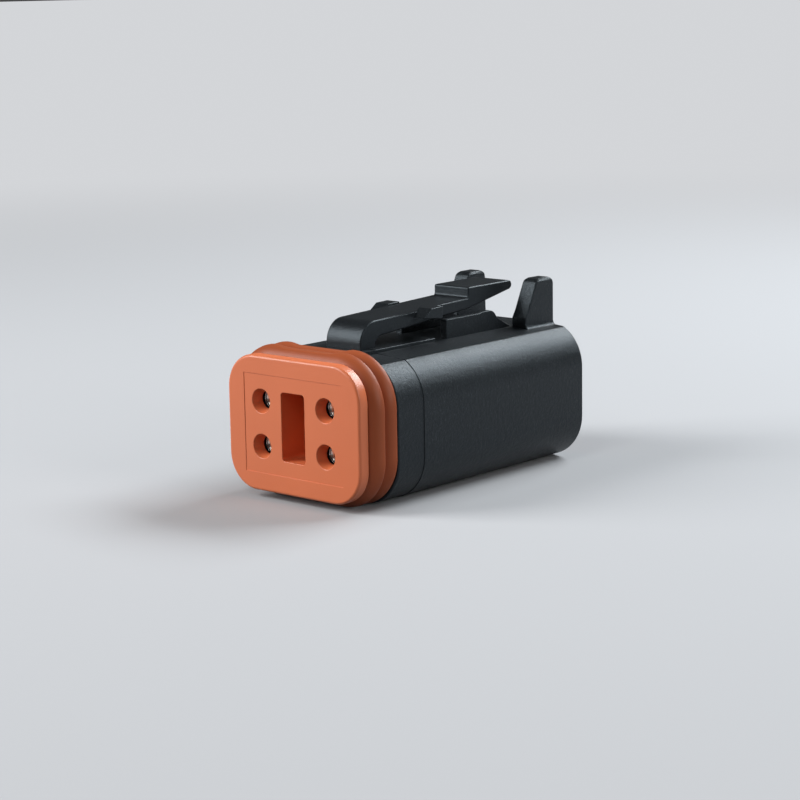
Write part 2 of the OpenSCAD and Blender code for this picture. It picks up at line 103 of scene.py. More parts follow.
# ---------------------------------------------------------------- settings

class PlugEdges(bpy.types.PropertyGroup):
    """How round the moulded edges are."""

    shell: length("Shell edge", 0.12 * MM, "Rounding of the housing's outer edges", 0.5 * MM)
    fin: length("Fin edge", 0.2 * MM, "Rounding of the guard fins' edges", 0.45 * MM)
    lever: length("Lever edge", 0.22 * MM, "Rounding of the latch lever's edges", 0.24 * MM)
    catch: length("Catch edge", 0.1 * MM, "Rounding of the side catches' edges", 0.3 * MM)
    fillet: length("Pad fillet", 0.3 * MM, "Hollow rounding in front of the thumb pad", 0.6 * MM)
    plate: length("Plate lips", 0.07 * MM, "Rounding of the slot's and entries' lips", 0.3 * MM)
    panel: length("Panel edge", 0.03 * MM, "Rounding of the shallow panel's outline", 0.06 * MM)
    rubber: length("Rubber edge", 0.1 * MM, "Rounding of the rear seal's edges", 0.3 * MM)
    metal: length("Metal edge", 0.03 * MM, "Rounding of the contacts' and hoods' edges", 0.1 * MM)


class PlugLever(bpy.types.PropertyGroup):
    """The latch lever's catches, where they are fuller than the plain construction."""

    arm_half_width: length("Half width", 2.795 * MM, "Half the arm's width", 4.0 * MM)
    pad_front: length("Pad front", 8.3 * MM, "Where the thumb pad rises from the arm", 12.0 * MM)
    catch_heel: length("Catch heel", 13.0 * MM, "From the bend's front to the catches' rear",
                       20.0 * MM)
    catch_land: length("Catch land", 2.1 * MM, "Length of a catch's top", 4.0 * MM)
    catch_ramp: length("Catch ramp", 1.5 * MM, "Length of the ramp in front of it", 4.0 * MM)
    catch_drop: length("Catch drop", 1.1 * MM, "How far the ramp's foot lies below the top", 3.0 * MM)
    catch_root: length("Catch root", 0.35 * MM, "How far a catch grows over the arm", 1.0 * MM)
    catch_reach: length("Catch reach", 0.55 * MM, "How far a catch stands out past the plain one",
                        1.0 * MM)
    catch_crown: length("Catch crown", 21.2 * MM, "Height of a catch's top", 25.0 * MM)
    catch_height: length("Catch height", 1.5 * MM, "Height of a catch's rear face", 3.0 * MM)


class PlugSeal(bpy.types.PropertyGroup):
    """The front seal's ring, in the order from its bore outwards and from its front to its rear."""

    corner: length("Corner", 6.2 * MM, "Radius of the ring's corners over the ribs", 8.0 * MM)
    wall: length("Wall", 1.47 * MM, "Rubber between the grooves and the bore", 2.0 * MM)
    groove: length("Groove", 1.35 * MM, "Depth of the grooves", 2.0 * MM)
    gap: length("Front gap", 0.04 * MM, "Flat before the first rib", 0.2 * MM)
    pitch: length("Rib pitch", 2.05 * MM, "Distance from crest to crest", 3.0 * MM)
    flank: length("Rear flank", 0.34 * MM, "Length of a rib's steep rear flank", 1.0 * MM)
    crest: length("Crest", 0.1 * MM, "Rounding of a rib's crest", 0.3 * MM)
    root: length("Groove root", 0.16 * MM, "Rounding at the bottom of a groove", 0.4 * MM)
    dip_width: length("Dip width", 7.4 * MM, "Width of the flat dip along the top", 10.0 * MM)
    dip_slope: length("Dip slope", 1.2 * MM, "Run of the slope on each side of the dip", 3.0 * MM)
    dip_depth: length("Dip depth", 0.24 * MM, "Depth of the flat dip", 1.0 * MM)
    steps: IntProperty(name="Steps", description="Sections round the ring", default=260,
                       min=40, max=600)


class PlugContacts(bpy.types.PropertyGroup):
    """The turned sockets and their hoods."""

    pitch_x: length("Column pitch", 10.2 * MM, "Distance between the columns of contacts")
    pitch_z: length("Row pitch", 5.4 * MM, "Distance between the rows of contacts")
    pin_bore: length("Pin bore", 0.8 * MM, "Radius of the mating pin's bore", 2.0 * MM)
    bore_depth: length("Bore depth", 6.2 * MM, "Depth of the bore behind the hood's front", 10.0 * MM)
    socket: length("Socket", 1.15 * MM, "Radius of the socket inside its hood", 2.0 * MM)
    collar: length("Collar", 1.5 * MM, "Radius of the collar", 2.0 * MM)
    collar_length: length("Collar length", 1.0 * MM, "Length of the collar", 3.0 * MM)
    waist: length("Waist", 0.95 * MM, "Radius of the waist", 2.0 * MM)
    waist_length: length("Waist length", 3.0 * MM, "Length of the waist", 6.0 * MM)
    crimp_depth: length("Crimp depth", 6.5 * MM, "Depth of the bore for the wire", 10.0 * MM)
    hood_wall: length("Hood wall", 0.15 * MM, "Thickness of the hood's sheet", 0.4 * MM)
    hood_mouth: length("Hood mouth", 1.1 * MM, "Radius of the opening in the hood's front", 2.0 * MM)
    steps: IntProperty(name="Steps", description="Facets round a contact", default=64,
                       min=16, max=128)


class PlugColours(bpy.types.PropertyGroup):
    """The base colours of the five finishes."""

    shell: colour("Shell", (0.0070, 0.0085, 0.0100), "Black glass-filled nylon")
    fleck: colour("Fleck", (0.050, 0.058, 0.066), "Glass fibres that show at the black surface")
    wedge: colour("Wedge lock", (0.680, 0.175, 0.068), "Orange moulded plastic")
    seal: colour("Seals", (0.340, 0.077, 0.025), "Orange silicone rubber")
    nickel: colour("Contacts", (0.62, 0.60, 0.55), "Nickel plating")
    steel: colour("Hoods", (0.72, 0.73, 0.76), "Stainless steel sheet")


class PlugStage(bpy.types.PropertyGroup):
    """Camera, lamps and floor."""

    lens: FloatProperty(name="Lens", description="Focal length on a 36 mm sensor", default=100.0,
                        min=20.0, max=300.0, unit="CAMERA")
    key: FloatProperty(name="Key lamp", description="Lamp in front and above", default=0.35,
                       min=0.0, max=20.0, subtype="POWER")
    side: FloatProperty(name="Side lamp", description="Wide lamp in front, to the left", default=3.2,
                        min=0.0, max=20.0, subtype="POWER")
    rim: FloatProperty(name="Rim lamp", description="Small lamp straight to the right", default=0.5,
                       min=0.0, max=20.0, subtype="POWER")
    back: FloatProperty(name="Back lamp", description="Wide lamp above and behind", default=3.1,
                        min=0.0, max=20.0, subtype="POWER")
    fill: FloatProperty(name="Fill", description="Level of the light from all round", default=0.07,
                        min=0.0, max=2.0)
    floor: colour("Floor", (0.47, 0.48, 0.50), "Pale floor")
    bounce: colour("Bounce", (0.12, 0.12, 0.13), "What the floor gives back to the plug, softly")
    even: colour("Even tone", (0.655, 0.668, 0.69), "Tone that the floor fades to away from the plug")
    fade_from: length("Fade from", 0.10, "Where the floor starts to fade to the even tone", 1.0)
    fade_to: length("Fade to", 0.45, "Where the floor has the even tone", 2.0)


# ---------------------------------------------------------------- meshes

def cleaned(node):
    """A bmesh of a CAD node's own surface, with its doubles merged and its flats made whole."""
    bm = bmesh.new()
    bm.from_mesh(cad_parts[node].data)
    bmesh.ops.remove_doubles(bm, verts=bm.verts, dist=0.001 * MM)
    bmesh.ops.dissolve_limit(bm, angle_limit=FLAT_ANGLE, verts=bm.verts, edges=bm.edges)
    bmesh.ops.dissolve_degenerate(bm, dist=0.01 * MM, edges=bm.edges)
    return bm


def round_edges(bm, radius, wanted, least=24.0, segments=3, hollows=False):
    """Rounds the sharp outer edges that the test wants, and the inner ones too with hollows."""
    edges = [e for e in bm.edges if len(e.link_faces) == 2 and (e.is_convex or hollows)
             and e.calc_face_angle() > math.radians(least) and wanted(e)]
    if edges:
        bmesh.ops.bevel(bm, geom=edges, offset=radius, offset_type="OFFSET", segments=segments,
                        profile=0.5, affect="EDGES", clamp_overlap=False)


def as_object(bm, name, material, least=32.0):
    """Turns a bmesh into an object with smooth faces, sharp edges kept and flats shaded flat."""
    mesh = bpy.data.meshes.new(name)
    bm.to_mesh(mesh)
    bm.free()
    return finished(mesh, name, material, least)


def finished(mesh, name, material, least=32.0):
    """Shades a mesh smooth except at edges sharper than the least angle, and paints it."""
    mesh.shade_smooth()
    mesh.set_sharp_from_angle(angle=math.radians(least))
    rough = bpy.data.objects.new(name + "_raw", mesh)
    bpy.context.scene.collection.objects.link(rough)
    weigh = rough.modifiers.new("flats", "WEIGHTED_NORMAL")
    weigh.keep_sharp = True
    weigh.weight = 100
    obj = applied(rough, name)
    obj.data.materials.clear()
    obj.data.materials.append(material)
    return obj


def applied(rough, name):
    """The plain mesh object that an object with modifiers evaluates to."""
    graph = bpy.context.evaluated_depsgraph_get()
    graph.update()
    mesh = bpy.data.meshes.new_from_object(rough.evaluated_get(graph), preserve_all_data_layers=True,
                                           depsgraph=graph)
    mesh.name = name
    bpy.data.objects.remove(rough)
    obj = bpy.data.objects.new(name, mesh)
    bpy.context.scene.collection.objects.link(obj)
    return obj


def stands_for(obj, body, slot, *nodes):
    """Puts a finished piece in the place of its CAD nodes."""
    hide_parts(*nodes)
    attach(obj, body)


def kept_inside(bm, low, high):
    """Brings back what a rounding has pushed past the node's own box."""
    for vert in bm.verts:
        vert.co = [min(max(c, a), b) for c, a, b in zip(vert.co, low, high)]


def middle(edge):
    """The point halfway along an edge."""
    return (edge.verts[0].co + edge.verts[1].co) / 2


# ---------------------------------------------------------------- shader groups

def new_group(name, inputs, outputs):
    """A shader node group with named sockets: (name, kind, default) for each input."""
    tree = bpy.data.node_groups.new(name, "ShaderNodeTree")
    for label, kind, default in inputs:
        socket = tree.interface.new_socket(label, in_out="INPUT", socket_type=kind)
        if default is not None:
            socket.default_value = default
    for label, kind in outputs:
        tree.interface.new_socket(label, in_out="OUTPUT", socket_type=kind)
    return tree, tree.nodes.new("NodeGroupInput"), tree.nodes.new("NodeGroupOutput")


def math_node(tree, operation, a, b, clamp=False):
    """The result of a sum on two sockets or numbers."""
    node = tree.nodes.new("ShaderNodeMath")
    node.operation = operation
    node.use_clamp = clamp
    for socket, value in zip(node.inputs, (a, b)):
        if isinstance(value, (int, float)):
            socket.default_value = value
        else:
            tree.links.new(value, socket)
    return node.outputs[0]


def noise(tree, vector, scale, detail=2.0, roughness=0.5):
    """A noise value from 0 to 1 over the object's own coordinates."""
    node = tree.nodes.new("ShaderNodeTexNoise")
    tree.links.new(vector, node.inputs["Vector"])
    if isinstance(scale, (int, float)):
        node.inputs["Scale"].default_value = scale
    else:
        tree.links.new(scale, node.inputs["Scale"])
    node.inputs["Detail"].default_value = detail
    node.inputs["Roughness"].default_value = roughness
    return node.outputs["Fac"]


def spark_grain_group():
    """The fine texture that an eroded mould leaves: a height, bright flecks and slow clouds."""
    tree, inside, outside = new_group(
        "spark_grain",
        [("Vector", "NodeSocketVector", None), ("Scale", "NodeSocketFloat", 6500.0),
         ("Fleck Share", "NodeSocketFloat", 0.3)],
        [("Height", "NodeSocketFloat"), ("Fleck", "NodeSocketFloat"), ("Cloud", "NodeSocketFloat")])
    vector, scale = inside.outputs["Vector"], inside.outputs["Scale"]
    fleck_share = inside.outputs["Fleck Share"]
    coarse_scale, coarse_height, cloud_scale = 0.32, 0.8, 0.03
    fleck_level, fleck_contrast = 0.72, 5.0

    fine = noise(tree, vector, scale, 3.0, 0.6)
    coarse = noise(tree, vector, math_node(tree, "MULTIPLY", scale, coarse_scale))
    height = math_node(tree, "ADD", fine, math_node(tree, "MULTIPLY", coarse, coarse_height))
    tree.links.new(height, outside.inputs["Height"])
    level = math_node(tree, "SUBTRACT", fine, math_node(tree, "SUBTRACT", fleck_level, fleck_share))
    fleck = math_node(tree, "MULTIPLY", level, fleck_contrast, clamp=True)
    tree.links.new(fleck, outside.inputs["Fleck"])
    cloud = noise(tree, vector, math_node(tree, "MULTIPLY", scale, cloud_scale))
    tree.links.new(cloud, outside.inputs["Cloud"])
    return tree


def new_material(name):
    """A material with its tree, its shader and the object's own coordinates."""
    material = bpy.data.materials.new(name)
    material.use_nodes = True
    tree = material.node_tree
    shader = tree.nodes["Principled BSDF"]
    place = tree.nodes.new("ShaderNodeTexCoord").outputs["Object"]
    return material, tree, shader, place


def mixed(tree, factor, a, b):
    """A colour between two, by a factor that changes over the surface."""
    node = tree.nodes.new("ShaderNodeMix")
    node.data_type = "RGBA"
    tree.links.new(factor, node.inputs[0])
    for socket, value in ((node.inputs[6], a), (node.inputs[7], b)):
        if isinstance(value, (tuple, list)):
            socket.default_value = (*value, 1.0)
        else:
            tree.links.new(value, socket)
    return node.outputs[2]


def spread(tree, value, low, high):
    """Maps 0 to 1 onto low to high."""
    node = tree.nodes.new("ShaderNodeMapRange")
    tree.links.new(value, node.inputs["Value"])
    node.inputs["To Min"].default_value = low
    node.inputs["To Max"].default_value = high
    return node.outputs["Result"]


def bump(tree, shader, height, distance):
    """Raises a height, in shares of a distance, on the shader's surface."""
    node = tree.nodes.new("ShaderNodeBump")
    node.inputs["Strength"].default_value = 1.0
    node.inputs["Distance"].default_value = distance
    tree.links.new(height, node.inputs["Height"])
    tree.links.new(node.outputs["Normal"], shader.inputs["Normal"])


def grained(tree, place, scale, fleck_share):
    """The outputs of a spark_grain group in a material."""
    node = tree.nodes.new("ShaderNodeGroup")
    node.node_tree = bpy.data.node_groups.get("spark_grain") or spark_grain_group()
    tree.links.new(place, node.inputs["Vector"])
    node.inputs["Scale"].default_value = scale
    node.inputs["Fleck Share"].default_value = fleck_share
    return node.outputs


def scaled(colour_value, factor):
    """A colour made darker or lighter by a factor."""
    return tuple(min(1.0, c * factor) for c in colour_value)


def black_nylon(name, scale, depth, fleck_share):
    """Black glass-filled nylon with a fine moulded grain."""
    if name in bpy.data.materials:
        return bpy.data.materials[name]
    colours = bpy.context.scene.plug_colours
    material, tree, shader, place = new_material(name)
    texture = grained(tree, place, scale, fleck_share)
    plain = mixed(tree, texture["Cloud"], scaled(colours.shell, 0.85), scaled(colours.shell, 1.2))
    flecked = mixed(tree, texture["Fleck"], plain, tuple(colours.fleck))
    tree.links.new(flecked, shader.inputs["Base Color"])
    tree.links.new(spread(tree, texture["Cloud"], *NYLON_ROUGHNESS), shader.inputs["Roughness"])
    shader.inputs["Specular IOR Level"].default_value = NYLON_SHINE
    shader.inputs["Specular Tint"].default_value = NYLON_SHINE_TINT
    bump(tree, shader, texture["Height"], depth)
    return material


def orange_moulded(name, base, clouds, roughness, shine, grain):
    """An orange moulding: its colour drifts between two shades of the base under a faint grain."""
    if name in bpy.data.materials:
        return bpy.data.materials[name]
    scale, depth, fleck_share = grain
    material, tree, shader, place = new_material(name)
    texture = grained(tree, place, scale, fleck_share)
    drifted = mixed(tree, texture["Cloud"], scaled(base, 1.0 - clouds), scaled(base, 1.0 + clouds))
    tree.links.new(drifted, shader.inputs["Base Color"])
    tree.links.new(spread(tree, texture["Cloud"], *roughness), shader.inputs["Roughness"])
    shader.inputs["Specular IOR Level"].default_value = shine
    bump(tree, shader, texture["Height"], depth)
    return material


def orange_plastic():
    """Smooth moulded plastic."""
    base = bpy.context.scene.plug_colours.wedge
    return orange_moulded("orange_plastic", base, 0.05, PLASTIC_ROUGHNESS, PLASTIC_SHINE, PLASTIC_GRAIN)


def orange_rubber():
    """Moulded silicone rubber, darker and softer than the plastic."""
    base = bpy.context.scene.plug_colours.seal
    return orange_moulded("orange_rubber", base, 0.07, RUBBER_ROUGHNESS, RUBBER_SHINE, RUBBER_GRAIN)


def turned_metal(name, base, roughness, pitch):
    """Metal with the fine rings that a lathe or a draw leaves across the axis."""
    if name in bpy.data.materials:
        return bpy.data.materials[name]
    material, tree, shader, place = new_material(name)
    shader.inputs["Metallic"].default_value = 1.0
    split = tree.nodes.new("ShaderNodeSeparateXYZ")
    tree.links.new(place, split.inputs[0])
    join = tree.nodes.new("ShaderNodeCombineXYZ")
    tree.links.new(math_node(tree, "MULTIPLY", split.outputs["Y"], 1.0 / pitch), join.inputs["Y"])
    rings = noise(tree, join.outputs[0], 1.0)
    stain = noise(tree, place, STAIN_SCALE)
    stained = mixed(tree, stain, scaled(base, 0.9), scaled(base, 1.05))
    tree.links.new(stained, shader.inputs["Base Color"])
    tree.links.new(spread(tree, rings, roughness * 0.8, roughness * 1.25), shader.inputs["Roughness"])
    bump(tree, shader, rings, RING_DEPTH)
    return material


def pale_floor():
    """A floor that keeps the plug's shadow and is an even pale tone farther off.

    The camera, mirrors and glass see the pale tones, and soft light bounces from a calmer grey.
    """
    stage = bpy.context.scene.plug_stage
    material, tree, shader, place = new_material("pale_floor")
    shader.inputs["Roughness"].default_value = 0.8
    shader.inputs["Specular IOR Level"].default_value = 0.0
    rays = tree.nodes.new("ShaderNodeLightPath").outputs
    seen = math_node(tree, "MAXIMUM", rays["Is Camera Ray"], rays["Is Glossy Ray"])
    seen = math_node(tree, "MAXIMUM", seen, rays["Is Transmission Ray"])
    tone = mixed(tree, seen, tuple(stage.bounce), tuple(stage.floor))
    tree.links.new(tone, shader.inputs["Base Color"])
    away = tree.nodes.new("ShaderNodeVectorMath")
    away.operation = "LENGTH"
    tree.links.new(place, away.inputs[0])
    fade = tree.nodes.new("ShaderNodeMapRange")
    fade.interpolation_type = "SMOOTHSTEP"
    tree.links.new(away.outputs["Value"], fade.inputs["Value"])
    fade.inputs["From Min"].default_value = stage.fade_from
    fade.inputs["From Max"].default_value = stage.fade_to
    glow = tree.nodes.new("ShaderNodeEmission")
    glow.inputs["Color"].default_value = (*stage.even, 1.0)
    blend = tree.nodes.new("ShaderNodeMixShader")
    tree.links.new(math_node(tree, "MULTIPLY", fade.outputs["Result"], seen), blend.inputs[0])
    tree.links.new(shader.outputs[0], blend.inputs[1])
    tree.links.new(glow.outputs[0], blend.inputs[2])
    tree.links.new(blend.outputs[0], tree.nodes["Material Output"].inputs["Surface"])
    return material


# ---------------------------------------------------------------- geometry node trees

def new_geometry_tree(name, inputs):
    """A geometry tree with named inputs, with the sockets of its two ends."""
    tree = bpy.data.node_groups.new(name, "GeometryNodeTree")
    tree.interface.new_socket("Geometry", in_out="INPUT", socket_type="NodeSocketGeometry")
    for label, kind, default in inputs:
        socket = tree.interface.new_socket(label, in_out="INPUT", socket_type=kind)
        if default is not None:
            socket.default_value = default
    tree.interface.new_socket("Geometry", in_out="OUTPUT", socket_type="NodeSocketGeometry")
    return tree, tree.nodes.new("NodeGroupInput").outputs, tree.nodes.new("NodeGroupOutput").inputs


def add(tree, kind, **sockets):
    """Adds a node and fills its inputs, by name, with links or values."""
    node = tree.nodes.new(kind)
    for label, value in sockets.items():
        socket = node.inputs[label.replace("_", " ")]
        if isinstance(value, bpy.types.NodeSocket):
            tree.links.new(value, socket)
        else:
            socket.default_value = value
    return node


def carried_ring_tree():
    """Carries the object's own outline round a rounded rectangle and presses a dip into its top."""
    tree, ins, outs = new_geometry_tree("carried_ring", [
        ("Width", "NodeSocketFloat", 0.02), ("Height", "NodeSocketFloat", 0.015),
        ("Corner", "NodeSocketFloat", 0.005), ("Steps", "NodeSocketInt", 200),
        ("Dip Width", "NodeSocketFloat", 0.005), ("Dip Slope", "NodeSocketFloat", 0.001),
        ("Dip Depth", "NodeSocketFloat", 0.0), ("Material", "NodeSocketMaterial", None)])
    path = add(tree, "GeometryNodeCurvePrimitiveQuadrilateral", Width=ins["Width"],
               Height=ins["Height"])
    fillet = add(tree, "GeometryNodeFilletCurve", Curve=path.outputs[0], Radius=ins["Corner"])
    fillet.mode = "POLY"
    fillet.inputs["Count"].default_value = CORNER_STEPS
    even = add(tree, "GeometryNodeResampleCurve", Curve=fillet.outputs[0], Count=ins["Steps"])
    upright = add(tree, "GeometryNodeSetCurveNormal", Curve=even.outputs[0])
    upright.mode = "Z_UP"
    ring = add(tree, "GeometryNodeCurveToMesh", Curve=upright.outputs[0],
               Profile_Curve=ins["Geometry"])

    place = add(tree, "GeometryNodeInputPosition")
    split = add(tree, "ShaderNodeSeparateXYZ", Vector=place.outputs[0])
    aside = math_node(tree, "ABSOLUTE", split.outputs["X"], 0.0)
    start = math_node(tree, "MULTIPLY", ins["Dip Width"], 0.5)
    beyond = math_node(tree, "SUBTRACT", aside, start)
    rise = math_node(tree, "DIVIDE", beyond, ins["Dip Slope"], clamp=True)
    missing = math_node(tree, "MULTIPLY", math_node(tree, "SUBTRACT", 1.0, rise), ins["Dip Depth"])
    top = math_node(tree, "SUBTRACT", math_node(tree, "MULTIPLY", ins["Height"], 0.5), missing)
    lowered = math_node(tree, "MINIMUM", split.outputs["Y"], top)
    moved = add(tree, "ShaderNodeCombineXYZ", X=split.outputs["X"], Y=lowered, Z=split.outputs["Z"])
    dipped = add(tree, "GeometryNodeSetPosition", Geometry=ring.outputs[0], Position=moved.outputs[0])
    real = add(tree, "GeometryNodeRealizeInstances", Geometry=dipped.outputs[0])
    paint = add(tree, "GeometryNodeSetMaterial", Geometry=real.outputs[0], Material=ins["Material"])
    tree.links.new(paint.outputs[0], outs["Geometry"])
    return tree


def turned_set_tree():
    """Turns the object's own outline into a round piece and repeats it at the four contact places."""
    tree, ins, outs = new_geometry_tree("turned_set", [
        ("Core", "NodeSocketFloat", 0.001), ("Steps", "NodeSocketInt", 48),
        ("Pitch X", "NodeSocketFloat", 0.01), ("Pitch Y", "NodeSocketFloat", 0.005),
        ("Material", "NodeSocketMaterial", None)])
    path = add(tree, "GeometryNodeCurvePrimitiveCircle", Resolution=ins["Steps"], Radius=ins["Core"])
    upright = add(tree, "GeometryNodeSetCurveNormal", Curve=path.outputs[0])
    upright.mode = "Z_UP"
    piece = add(tree, "GeometryNodeCurveToMesh", Curve=upright.outputs[0],
                Profile_Curve=ins["Geometry"])
    places = add(tree, "GeometryNodeMeshGrid", Size_X=ins["Pitch X"], Size_Y=ins["Pitch Y"],
                 Vertices_X=2, Vertices_Y=2)
    copies = add(tree, "GeometryNodeInstanceOnPoints", Points=places.outputs[0],
                 Instance=piece.outputs[0])
    real = add(tree, "GeometryNodeRealizeInstances", Geometry=copies.outputs[0])
    paint = add(tree, "GeometryNodeSetMaterial", Geometry=real.outputs[0], Material=ins["Material"])
    tree.links.new(paint.outputs[0], outs["Geometry"])
    return tree


def softened(corners, closed=True):
    """An outline, as points, from (outward, along, rounding) corners."""
    points = []
    for i, (out, along, radius) in enumerate(corners):
        here = Vector((out, along))
        if radius <= 0.0 or (not closed and i in (0, len(corners) - 1)):
            points.append(here)
            continue
        before = Vector(corners[i - 1][:2]) - here
        after = Vector(corners[(i + 1) % len(corners)][:2]) - here
        half = before.angle(after) / 2
        reach = radius / math.tan(half)
        between = (before.normalized() + after.normalized()).normalized()
        centre = here + between * radius / math.sin(half)
        first = here + before.normalized() * reach - centre
        last = here + after.normalized() * reach - centre
        turn = first.angle_signed(last)
        for k in range(ROUNDING_STEPS + 1):
            points.append(centre + Matrix.Rotation(-turn * k / ROUNDING_STEPS, 2) @ first)
    return points


def outline_curve(name, points, closed=True):
    """An outline, as (outward, along) points, for a tree to carry."""
    curve = bpy.data.curves.new(name, "CURVE")
    curve.dimensions = "3D"
    spline = curve.splines.new("POLY")
    spline.points.add(len(points) - 1)
    for point, (out, along) in zip(spline.points, points):
        point.co = (out, along, 0.0, 1.0)
    spline.use_cyclic_u = closed
    obj = bpy.data.objects.new(name, curve)
    bpy.context.scene.collection.objects.link(obj)
    return obj


def evaluate(host, tree, values, name):
    """Runs a tree on a host object with the named values and returns the plain mesh object."""
    modifier = host.modifiers.new(tree.name, "NODES")
    modifier.node_group = tree
    for item in tree.interface.items_tree:
        if item.in_out == "INPUT" and item.name in values:
            modifier[item.identifier] = values[item.name]
    return applied(host, name)


def stood_up(obj, y, material, least=32.0):
    """Stands a ring that was made flat on the ground upright, its front at y, and welds its seams."""
    turn = Matrix.Translation((0, y, AXIS_Z)) @ Matrix.Rotation(math.radians(90), 4, "X")
    bm = bmesh.new()
    bm.from_mesh(obj.data)
    bm.transform(turn)
    bmesh.ops.remove_doubles(bm, verts=bm.verts, dist=0.0005 * MM)
    bmesh.ops.recalc_face_normals(bm, faces=bm.faces)
    name = obj.name
    bpy.data.objects.remove(obj)
    return as_object(bm, name, material, least)


# ---------------------------------------------------------------- pieces

class PLUG_OT_housing(bpy.types.Operator):
    """Housing: the CAD form with its outer edges rounded"""

    bl_idname = "plug.housing"
    bl_label = "Housing"

    def execute(self, context):
        edges = context.scene.plug_edges
        bm = cleaned("housing")
        fins_front, fins_inside = SHELL_HIGH.y - 6.5 * MM, 4.3 * MM
        root_side, root_rear = LEVER_HIGH.x + 0.2 * MM, SHELL_LOW.y + 12.0 * MM
        roof_z, roof_front = 16.2 * MM, PARTING_Y - 4.2 * MM
        parting_margin = 0.3 * MM

        def on_fin(edge):
            m = middle(edge)
            return m.y > fins_front and m.z > PLATFORM_Z - 0.2 * MM and abs(m.x) > fins_inside

        def on_roof(edge):
            m = middle(edge)
            near_parting = abs(m.y - PARTING_Y) < parting_margin
            at_lever_root = abs(m.x) < root_side and m.y < root_rear and m.z < PLATFORM_Z + 0.1 * MM
            on_top = m.z > roof_z and m.y > roof_front
            return on_top and not (near_parting or at_lever_root or on_fin(edge))

        round_edges(bm, edges.fin, on_fin)
        round_edges(bm, edges.shell, on_roof, least=20.0)
        kept_inside(bm, SHELL_LOW, SHELL_HIGH)
        obj = as_object(bm, "housing_moulding", black_nylon("black_nylon", *SHELL_GRAIN))
        stands_for(obj, "plug", "housing", "housing")
        return {"FINISHED"}


def bare_arm(half_width):
    """The lever between its two side faces, without the catches, closed by one flat on each side."""
    bm = cleaned("latch_lever")
    for side in (1, -1):
        everything = bm.verts[:] + bm.edges[:] + bm.faces[:]
        bmesh.ops.bisect_plane(bm, geom=everything, plane_co=(side * half_width, 0, 0),
                               plane_no=(side, 0, 0), clear_outer=True)
        bmesh.ops.edgeloop_fill(bm, edges=[e for e in bm.edges if e.is_boundary])
    bmesh.ops.recalc_face_normals(bm, faces=bm.faces)
    return bm


def catch_block(side, lever):
    """One side catch: a block with a ramp at its front and a sharp heel at its rear."""
    bm = bmesh.new()
    heel = LEVER_LOW.y + lever.catch_heel
    ramp, foot = heel - lever.catch_land, heel - lever.catch_land - lever.catch_ramp
    crown = lever.catch_crown
    profile = ((foot, crown - lever.catch_drop), (ramp, crown - 0.05 * MM), (heel, crown),
               (heel, crown - lever.catch_height))
    for x in (lever.arm_half_width - lever.catch_root, LEVER_HIGH.x + lever.catch_reach):
        for y, z in profile:
            bm.verts.new((side * x, y, z))
    bmesh.ops.convex_hull(bm, input=bm.verts)
    bmesh.ops.recalc_face_normals(bm, faces=bm.faces)
    bmesh.ops.dissolve_limit(bm, angle_limit=math.radians(1.0), verts=bm.verts, edges=bm.edges)
    return bm


def plain_object(bm, name):
    """Turns a bmesh into a bare object, for a modifier to work on."""
    mesh = bpy.data.meshes.new(name)
    bm.to_mesh(mesh)
    bm.free()
    obj = bpy.data.objects.new(name, mesh)
    bpy.context.scene.collection.objects.link(obj)
    return obj


def joined(body, others, name):
    """One closed mesh from a body and the blocks that grow out of it."""
    for other in others:
        union = body.modifiers.new(other.name, "BOOLEAN")
        union.operation = "UNION"
        union.solver = "EXACT"
        union.object = other
    whole = applied(body, name)
    for other in others:
        bpy.data.objects.remove(other)
    bm = bmesh.new()
    bm.from_mesh(whole.data)
    bpy.data.objects.remove(whole)
    bmesh.ops.remove_doubles(bm, verts=bm.verts, dist=0.002 * MM)
    bmesh.ops.dissolve_limit(bm, angle_limit=FLAT_ANGLE, verts=bm.verts, edges=bm.edges)
    return bm


class PLUG_OT_latch_lever(bpy.types.Operator):
    """Latch lever: the CAD arm and pad with softly rounded edges, and fuller side catches"""

    bl_idname = "plug.latch_lever"
    bl_label = "Latch lever"

    def execute(self, context):
        edges = context.scene.plug_edges
        lever = context.scene.plug_lever
        arm = plain_object(bare_arm(lever.arm_half_width), "arm")
        catches = [plain_object(catch_block(side, lever), "catch_%d" % side) for side in (1, -1)]
        bm = joined(arm, catches, "lever_raw")
        arm_side = lever.arm_half_width + 0.05 * MM
        heel = LEVER_LOW.y + lever.catch_heel
        catch_length = lever.catch_land + lever.catch_ramp + 0.1 * MM

        def on_catch(edge):
            m = middle(edge)
            over_arm = abs(m.x) > arm_side - 0.5 * MM and m.z > lever.catch_crown - 0.2 * MM
            return abs(m.x) > arm_side or (over_arm and abs(m.y - heel) < catch_length)

        def at_pad_foot(edge):
            m = middle(edge)
            on_line = abs(m.y - lever.pad_front) < 0.1 * MM and abs(m.x) < 0.1 * MM
            return on_line and not edge.is_convex

        def above_root(edge):
            return middle(edge).z > PLATFORM_Z + 0.15 * MM and not on_catch(edge)

        round_edges(bm, edges.fillet, at_pad_foot, hollows=True)
        round_edges(bm, edges.lever, above_root)
        round_edges(bm, edges.catch, on_catch, least=30.0)
        obj = as_object(bm, "lever_moulding", black_nylon("black_nylon_smooth", *LEVER_GRAIN))
        stands_for(obj, "lever", "housing", "latch_lever")
        return {"FINISHED"}


